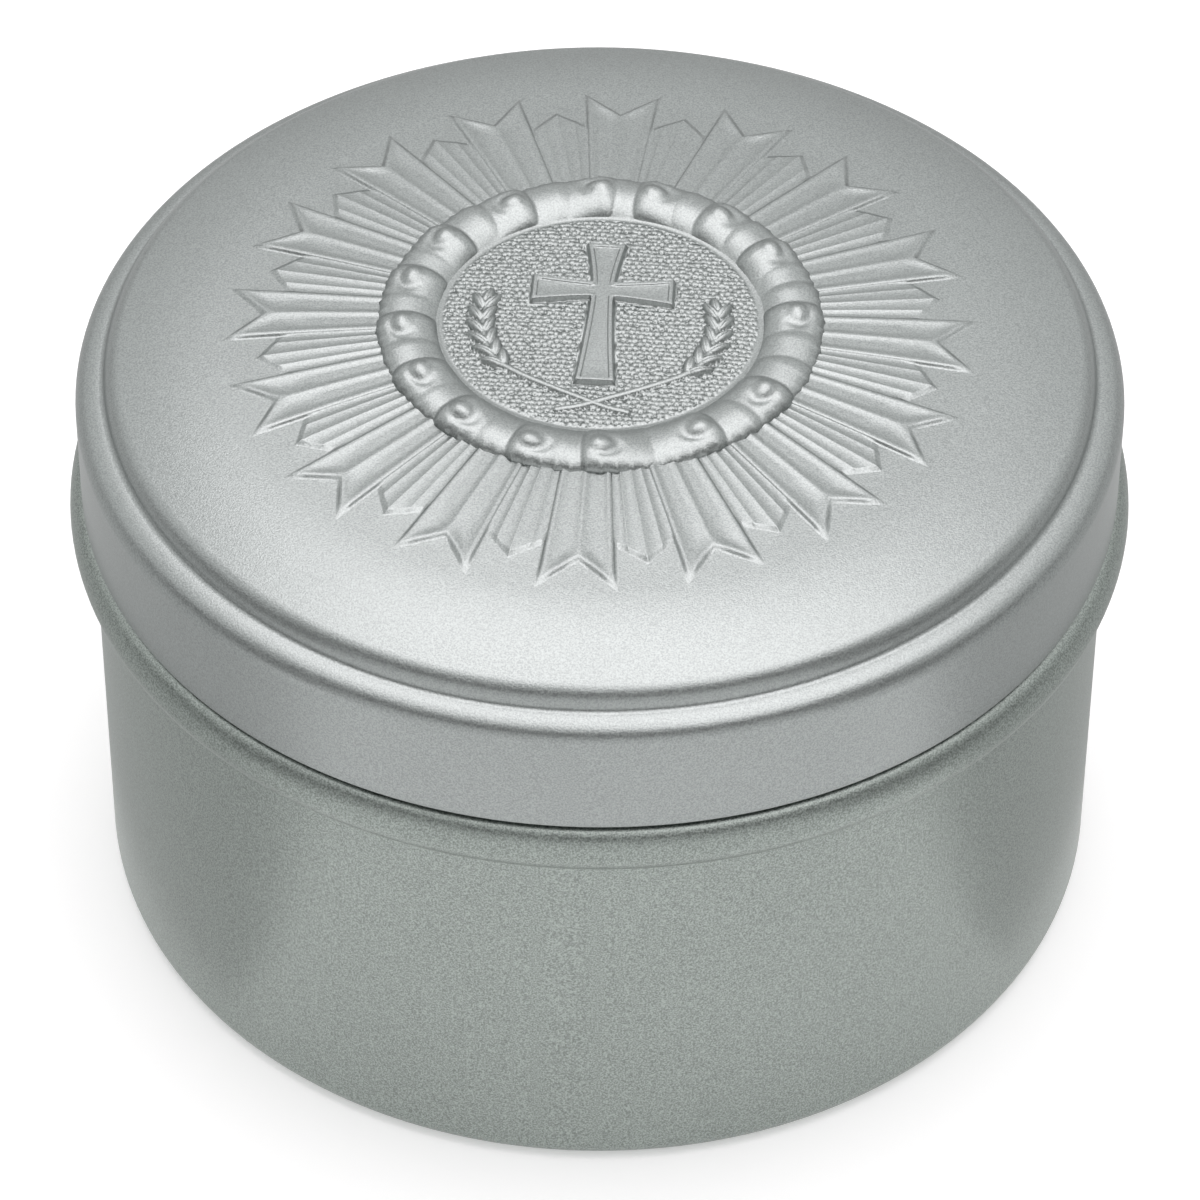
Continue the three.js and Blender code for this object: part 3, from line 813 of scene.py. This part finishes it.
def wreath_swell(turn, over):
    """Rise over the plain ring, by the turn round it and the angle over its back from its outer side."""
    swell = np.zeros(turn.shape)
    for place, side, centre, rise, eyed in wreath_scales():
        along = ((turn - place + math.pi) % (2 * math.pi) - math.pi) * WREATH_CREST * side
        inward = over - centre
        across = inward / np.where(inward > 0, SCALE_INWARD, SCALE_OUTWARD)
        lead = np.clip(along, 0, None) / SCALE_STEEP
        fall = np.clip(1 + np.clip(along, None, 0) / SCALE_TAIL, 0, 1) ** TAIL_SOFTNESS
        soft = np.clip(1 - across**2, 0, 1) ** np.where(inward > 0, INWARD_SOFTNESS, OUTWARD_SOFTNESS)
        dome = rise * np.sqrt(np.clip(1 - lead**2 - across**2, 0, 1)) * fall * soft
        if eyed:
            ahead, beside = along + EYE_SHIFT, inward * RING_RADIUS
            near = np.hypot(ahead / EYE_STRETCH, beside) / EYE_RADIUS
            eye = EYE_RISE * np.clip(1 - near**2, 0, 1)
            towards = -(MOAT_TOWARDS[0] * ahead / EYE_STRETCH + MOAT_TOWARDS[1] * beside)
            towards = towards / (near * EYE_RADIUS + 1e-6)
            kept = np.clip(MOAT_LEAST + (1 - MOAT_LEAST) * towards, 0, 1)
            moat = MOAT_DEPTH * np.exp(-(((near - MOAT_REACH) / MOAT_WIDTH) ** 2)) * kept
            dome = dome + eye - moat * (dome > MOAT_DEPTH)
        swell = np.maximum(swell, dome)
    edge = np.clip((SCALLOP_TOP - over) / SCALLOP_FADE, 0, 1)
    return swell - SCALLOP_DEPTH * edge * np.abs(np.sin(turn * SCALLOPS / 2)) ** SCALLOP_ROUNDING


def wreath_mesh(surface):
    """Adds the wreath, as a tube whose lower side lies under the lid's face."""
    turn = 2 * math.pi * np.arange(WREATH_COLUMNS) / WREATH_COLUMNS
    # From under the lid's face on the outer side, over the ring's back, to under it on the inner side
    over = np.linspace(-0.1 * math.pi, 1.06 * math.pi, WREATH_ROWS)
    c, s = np.cos(over), np.sin(over)
    out = np.where(c > 0, WREATH_EDGE - WREATH_CREST, WREATH_CREST - WREATH_INNER) * c
    up = WREATH_BASE * np.sign(s) * np.abs(s) ** np.where(c > 0, 1.4, 2)
    normal = np.stack([np.gradient(up), -np.gradient(out)])
    normal /= np.hypot(*normal)
    over_grid, turn_grid = np.meshgrid(over, turn, indexing="ij")
    swell = wreath_swell(turn_grid, over_grid)
    r = WREATH_CREST + out[:, None] + swell * normal[0][:, None]
    level = (crown(WREATH_CREST + out) + up)[:, None] + swell * normal[1][:, None]
    points = np.stack([r * np.cos(turn_grid), r * np.sin(turn_grid), level], 2)
    over_turn = np.roll(points, -1, 1) - np.roll(points, 1, 1)
    over_back = np.gradient(points, axis=0)
    ids = surface.add(points, np.cross(over_turn, over_back)).reshape(over_grid.shape)
    for outer, inner in zip(ids, ids[1:]):
        surface.strip(inner, outer)
    surface.strip(ids[0], ids[-1])


def cup_mesh():
    """The cup, from the middle of its floor over its mouth and down to the middle of its base."""
    surface = Surface()
    inner = WALL_RADIUS - CUP_SHEET
    corner = (WALL_RADIUS - BASE_FILLET, BASE_FILLET)
    lip = (WALL_RADIUS - CUP_SHEET / 2, MOUTH_HEIGHT - CUP_SHEET / 2)
    bead = (WALL_RADIUS, BEAD_HEIGHT)
    over_bead = bend(bead, BEAD_REACH, BEAD_RISE, BEAD_TOP_TILT, 90, 10)
    under_bead = bend(bead, BEAD_REACH, BEAD_FALL, 90, BEAD_FOOT_TILT, 7)[1:]
    foot_of_bead = cove_to_wall(under_bead[-1], BEAD_COVE, WALL_RADIUS, 90)
    # The single rows stand a little off the bends, so that the straight walls shade evenly
    profile = [
        (corner[0] - BASE_ROW, CUP_SHEET, 0),
        *cove(corner, BASE_FILLET - CUP_SHEET, 0, -90, 6),
        (inner, BASE_FILLET + 4, -90),
        (inner, CUP_INNER_ROW, -90),
        (inner, lip[1] - ROW_GAP, -90),
        *bend(lip, CUP_SHEET / 2, CUP_SHEET / 2, -90, 90, 8),
        (WALL_RADIUS, lip[1] - ROW_GAP, 90),
        (WALL_RADIUS, over_bead[0][1] + 0.5, 90),
        (WALL_RADIUS + NECK_FOOT, over_bead[0][1] + NECK_FOOT, 50),
        *over_bead,
        *under_bead,
        *foot_of_bead,
        (WALL_RADIUS, foot_of_bead[-1][1] - 1.5, 90),
        *((WALL_RADIUS, level, 90) for level in CUP_ROWS),
        (WALL_RADIUS, BASE_FILLET + 1, 90),
        *bend(corner, BASE_FILLET, BASE_FILLET, 90, 180, 9),
        (corner[0] - BASE_ROW, 0, 180),
    ]
    first, last = surface.turned(profile)
    surface.cap(first, CUP_SHEET, 1)
    surface.cap(last, 0.0, -1)
    return surface.mesh("box_body_sheet")


# Underside of the lid: the share of the relief that shows there, how far inside its edge, and how softly
BIG_BELOW = (0.7, 0.7, 1.6)
SMALL_BELOW = (0.6, 0.5, 1.5)
CROSS_BELOW = (0.6, 0.6, 1.4)
ARCH_BELOW = 1.3  # rise of the hollow under the wreath
UNDERSIDE_ROWS = (*np.arange(51.0, 30, -1.2), *np.arange(30.0, 20.5, -1.0), *np.arange(20.5, 1, -1.6))


def below(height, inside, share, inset, width):
    """The hollow under a form of the relief, by the distance inside its edge."""
    return share * height * rounded_step(inside - inset, width)


def underside(x, y):
    """The lid's lower side, where the relief shows again, softer."""
    r = np.hypot(x, y)
    big, small = folded(x, y)
    big = below(RAY_HEIGHT, big_inside(*big), *BIG_BELOW)
    small = below(SMALL_RIB_HEIGHT, small_end(*small), *SMALL_BELOW)
    rays = np.maximum(big, small) * np.clip((r - WREATH_OUTER + 1) / 2, 0, 1)
    share = np.clip((r - WREATH_INNER) / (WREATH_OUTER - WREATH_INNER), 0, 1)
    arch = ARCH_BELOW * 4 * share * (1 - share)
    cross = below(CROSS_RELIEF, inside_distance((x, y), CROSS), *CROSS_BELOW)
    return crown(r) - LID_SHEET + np.maximum(rays, arch) + cross


def lid_mesh():
    """The lid, from its face over its rim, its skirt and its underside, with the wreath on it."""
    surface = Surface()
    knuckle = knuckle_centre()
    shoulder_tilt = math.degrees(math.atan2(knuckle[0] - SHOULDER_CENTRE[0], knuckle[1] - SHOULDER_CENTRE[1]))
    first_tilt = math.degrees(math.asin((SUNBURST_OUTSIDE - SHOULDER_CENTRE[0]) / SHOULDER_RADIUS))
    shoulder = bend(SHOULDER_CENTRE, SHOULDER_RADIUS, SHOULDER_RADIUS, first_tilt, shoulder_tilt, 9)
    edge = (LID_RADIUS - SKIRT_EDGE_RADIUS, SKIRT_EDGE + SKIRT_EDGE_RADIUS)
    inner_edge = (LID_RADIUS - LID_SHEET + SKIRT_EDGE_RADIUS, edge[1])
    outer = [
        *shoulder,
        *bend(knuckle, KNUCKLE_RADIUS, KNUCKLE_RADIUS, shoulder_tilt, DOME_WALL_TILT, 10)[1:],
        *cove(crease_centre(), CREASE_RADIUS, DOME_WALL_TILT, LEDGE_TILT, 10),
        *bend(ledge_centre(), LEDGE_RADIUS, LEDGE_RADIUS, LEDGE_TILT, LEDGE_END, 6)[1:],
        *bend((CREST_AT, RIM_HEIGHT), RIM_RADIUS, RIM_RADIUS, LEDGE_END, 90, 10)[1:],
        (LID_RADIUS, RIM_HEIGHT - 4, 90),
        (LID_RADIUS, edge[1] + 3, 90),
    ]
    inner = []
    for r, z, tilt in outer[::-2]:
        s, c = sin_cos(tilt)
        inner.append((r - LID_SHEET * s, z - LID_SHEET * c, tilt - 180))
    rolled = [
        *bend(edge, SKIRT_EDGE_RADIUS, SKIRT_EDGE_RADIUS, 90, 180, 4),
        *bend(inner_edge, SKIRT_EDGE_RADIUS, SKIRT_EDGE_RADIUS, 180, 270, 4),
    ]
    inside_circle, outside_circle = sunburst_mesh(surface)
    field_circle = field_mesh(surface)
    surface.strip(field_circle, inside_circle)
    _, last = surface.turned(outer[1:] + rolled + inner, outside_circle)
    for r in UNDERSIDE_ROWS:
        points, normals = sampled(underside, circle(r))
        row = surface.add(points, -normals)
        surface.strip(last, row)
        last = row
    surface.cap(last, float(underside(np.zeros(1), np.zeros(1))[0]), -1)
    wreath_mesh(surface)
    return surface.mesh("lid_sheet")


# Materials. Scales are per metre and depths in metres.
GRAIN_SCALE = 4200.0
GRAIN_BUMP = 0.00005
GRAIN_BUMP_STRENGTH = 0.8
CLOUD_SCALE = 30.0
CLOUD_TONE = 0.025  # share of the metal's tone by which it drifts either way
NOISE_RANGE = (0.3, 0.7)  # values of a noise that count as its ends
SPECK_RANGE = (0.36, 0.64)


def shader(name):
    """A new material with its nodes, its links and its shader."""
    made = bpy.data.materials.new(name)
    made.use_nodes = True
    return made, made.node_tree.nodes, made.node_tree.links, made.node_tree.nodes["Principled BSDF"]


def noise(nodes, links, source, scale, detail, roughness):
    made = nodes.new("ShaderNodeTexNoise")
    made.inputs["Scale"].default_value = scale
    made.inputs["Detail"].default_value = detail
    made.inputs["Roughness"].default_value = roughness
    links.new(source, made.inputs["Vector"])
    return made.outputs["Fac"]


def ranged(nodes, links, source, low, high, start, end):
    """A value between low and high, turned into one between start and end."""
    made = nodes.new("ShaderNodeMapRange")
    for name, value in (("From Min", low), ("From Max", high), ("To Min", start), ("To Max", end)):
        made.inputs[name].default_value = value
    links.new(source, made.inputs["Value"])
    return made.outputs["Result"]


def satin_metal(name, colour, smooth, rough, fleck):
    """Metal whose grain varies its roughness between two values, and its tone by fleck either way."""
    material, nodes, links, bsdf = shader(name)
    place = nodes.new("ShaderNodeTexCoord").outputs["Object"]
    bsdf.inputs["Metallic"].default_value = 1.0
    cloud = noise(nodes, links, place, CLOUD_SCALE, 3.0, 0.5)
    cloud = ranged(nodes, links, cloud, *NOISE_RANGE, -CLOUD_TONE, CLOUD_TONE)
    grain = noise(nodes, links, place, GRAIN_SCALE, 2.0, 0.6)
    speck = ranged(nodes, links, grain, *SPECK_RANGE, -fleck, fleck)
    both = nodes.new("ShaderNodeMath")
    both.operation = "ADD"
    links.new(cloud, both.inputs[0])
    links.new(speck, both.inputs[1])
    # Multiplies the colour by 1 plus the sum, between half of it and one and a half
    tone = nodes.new("ShaderNodeMix")
    tone.data_type = "RGBA"
    tone.inputs["A"].default_value = (*(c * 0.5 for c in colour), 1)
    tone.inputs["B"].default_value = (*(c * 1.5 for c in colour), 1)
    links.new(ranged(nodes, links, both.outputs[0], -0.5, 0.5, 0.0, 1.0), tone.inputs["Factor"])
    links.new(tone.outputs["Result"], bsdf.inputs["Base Color"])
    links.new(ranged(nodes, links, grain, *NOISE_RANGE, smooth, rough), bsdf.inputs["Roughness"])
    bump = nodes.new("ShaderNodeBump")
    bump.inputs["Strength"].default_value = GRAIN_BUMP_STRENGTH
    bump.inputs["Distance"].default_value = GRAIN_BUMP
    links.new(grain, bump.inputs["Height"])
    links.new(bump.outputs["Normal"], bsdf.inputs["Normal"])
    return material


cup_metal = satin_metal("cup_satin_metal", (0.292, 0.323, 0.304), 0.30, 0.42, 0.32)
lid_metal = satin_metal("lid_satin_metal", (0.334, 0.355, 0.35), 0.28, 0.38, 0.17)

piece("box_body_sheet", cup_mesh(), "box", "box_body", cup_metal)
piece("lid_sheet", lid_mesh(), "lid", "lid", lid_metal)


# Studio. Sizes are in metres.
WORLD_LIGHT = 0.8  # strength of the world for rays other than those that see it
FLOOR_GLOW = 0.3  # what the floor adds for the rays that see it, so that it shows as white
FLOOR_COLOUR = (0.85, 0.85, 0.85, 1)
FLOOR_REACH = 4.0
CARD_LEVEL = 0.0005  # of the cards on the floor
SCREEN_DISTANCE = 1.3
LAMP_DISTANCE = 1.1
LID_LEVEL = APEX_HEIGHT * MM
LAMP_COLOUR = (1.0, 0.95, 0.97)


def background_seen(nodes, links):
    """A value that is 1 for camera, glossy and transmission rays, and 0 for the others."""
    path = nodes.new("ShaderNodeLightPath")
    seen = path.outputs["Is Camera Ray"]
    for name in ("Is Glossy Ray", "Is Transmission Ray"):
        either = nodes.new("ShaderNodeMath")
        either.operation = "MAXIMUM"
        links.new(seen, either.inputs[0])
        links.new(path.outputs[name], either.inputs[1])
        seen = either.outputs[0]
    return seen


world = bpy.data.worlds.new("studio")
bpy.context.scene.world = world
world.use_nodes = True
nodes, links = world.node_tree.nodes, world.node_tree.links
strength = ranged(nodes, links, background_seen(nodes, links), 0.0, 1.0, WORLD_LIGHT, 1.0)
links.new(strength, nodes["Background"].inputs["Strength"])
nodes["Background"].inputs["Color"].default_value = (1, 1, 1, 1)

floor_look, nodes, links, bsdf = shader("pale_floor")
bsdf.inputs["Base Color"].default_value = FLOOR_COLOUR
bsdf.inputs["Roughness"].default_value = 1.0
bsdf.inputs["Specular IOR Level"].default_value = 0.0
bsdf.inputs["Emission Color"].default_value = (1, 1, 1, 1)
glow = ranged(nodes, links, background_seen(nodes, links), 0.0, 1.0, 0.0, FLOOR_GLOW)
links.new(glow, bsdf.inputs["Emission Strength"])
floor_mesh = bpy.data.meshes.new("floor")
floor_corners = [(x * FLOOR_REACH, y * FLOOR_REACH, 0) for x, y in ((-1, -1), (1, -1), (1, 1), (-1, 1))]
floor_mesh.from_pydata(floor_corners, [], [(0, 1, 2, 3)])
floor_mesh.materials.append(floor_look)
floor = added("floor", floor_mesh)


def softbox(name, angle, turn, width, height, radiance):
    """A lamp that faces the lid, at an angle from the zenith and a turn from +Y towards +X. It fills a
    width and a height in degrees and shows a radiance."""
    (lean_sin, lean_cos), (turn_sin, turn_cos) = sin_cos(angle), sin_cos(turn)
    light = bpy.data.lights.new(name, "AREA")
    light.shape = "RECTANGLE"
    light.size, light.size_y = (2 * LAMP_DISTANCE * math.tan(math.radians(a / 2)) for a in (width, height))
    light.color = LAMP_COLOUR
    light.energy = radiance * math.pi * light.size * light.size_y
    thing = added(name, light)
    reach = LAMP_DISTANCE * lean_sin
    thing.location = (reach * turn_sin, reach * turn_cos, LID_LEVEL + LAMP_DISTANCE * lean_cos)
    aim = Vector((0, 0, LID_LEVEL)) - thing.location
    thing.rotation_euler = aim.to_track_quat("-Z", "Y").to_euler()


softbox("overhead", 5, 30, 67, 49, 1.6)
softbox("behind", 31, 12, 60, 23, 0.45)


def card(name, rows, middle, span, radiance):
    """A curved grey card that only the metal's gloss shows. Its rows are distances from the axis and
    heights, and it reaches span to either side of its middle, which is a turn from +Y towards +X."""
    steps = 36
    turns = np.radians(np.linspace(middle - span, middle + span, steps + 1))
    points = [(r * math.sin(t), r * math.cos(t), z) for r, z in rows for t in turns]
    starts = [row * (steps + 1) + i for row in range(len(rows) - 1) for i in range(steps)]
    faces = [(a, a + 1, a + steps + 2, a + steps + 1) for a in starts]
    mesh = bpy.data.meshes.new(name)
    mesh.from_pydata(points, [], faces)
    look, nodes, links, bsdf = shader(name)
    bsdf.inputs["Base Color"].default_value = (0, 0, 0, 1)
    bsdf.inputs["Specular IOR Level"].default_value = 0.0
    bsdf.inputs["Emission Color"].default_value = (1, 1, 1, 1)
    bsdf.inputs["Emission Strength"].default_value = radiance
    mesh.materials.append(look)
    thing = added(name, mesh)
    for kind in ("camera", "diffuse", "transmission", "volume_scatter", "shadow"):
        setattr(thing, "visible_" + kind, False)


def upright(low, high):
    """The rows of a card that stands between two elevations, as seen from the lid."""
    levels = np.radians(np.linspace(low, high, 5))
    return [(SCREEN_DISTANCE * math.cos(e), LID_LEVEL + SCREEN_DISTANCE * math.sin(e)) for e in levels]


card("near_screen", upright(27, 47), 180, 66, 0.1)
card("left_screen", upright(-2, 24), 252, 24, 0.22)
card("right_screen", upright(-2, 24), 108, 24, 0.22)
card("far_screen", upright(-3.5, 12), 0, 115, 0.6)
card("near_floor_card", [(0.075, CARD_LEVEL), (0.2, CARD_LEVEL)], -8, 125, 0.7)
card("far_floor_card", [(0.2, CARD_LEVEL), (SCREEN_DISTANCE, CARD_LEVEL)], 0, 125, 0.72)
card("front_floor_card", [(0.135, CARD_LEVEL), (0.3, CARD_LEVEL)], 180, 55, 1.06)

# Camera
CAMERA_ELEVATION = 43.48
CAMERA_AZIMUTH = 3.4
CAMERA_ROLL = 0.0049  # radians
CAMERA_DISTANCE = 0.8378
CAMERA_ASIDE = 0.00014  # from the axis to where the camera aims
CAMERA_AIM_LEVEL = 0.0386
CAMERA_LENS = 181.8

camera_data = bpy.data.cameras.new("camera")
camera_data.sensor_width = 36.0
camera_data.lens = CAMERA_LENS
camera = added("camera", camera_data)
bpy.context.scene.camera = camera
(lift_sin, lift_cos), (turn_sin, turn_cos) = sin_cos(CAMERA_ELEVATION), sin_cos(CAMERA_AZIMUTH)
back = Vector((turn_sin * lift_cos, -turn_cos * lift_cos, lift_sin))
target = Vector((CAMERA_ASIDE * turn_cos, CAMERA_ASIDE * turn_sin, CAMERA_AIM_LEVEL))
camera.location = target + back * CAMERA_DISTANCE
aim = (-back).to_track_quat("-Z", "Y")
aim.rotate(Quaternion(back, CAMERA_ROLL))
camera.rotation_mode = "QUATERNION"
camera.rotation_quaternion = aim

bpy.context.scene.view_settings.view_transform = "Standard"
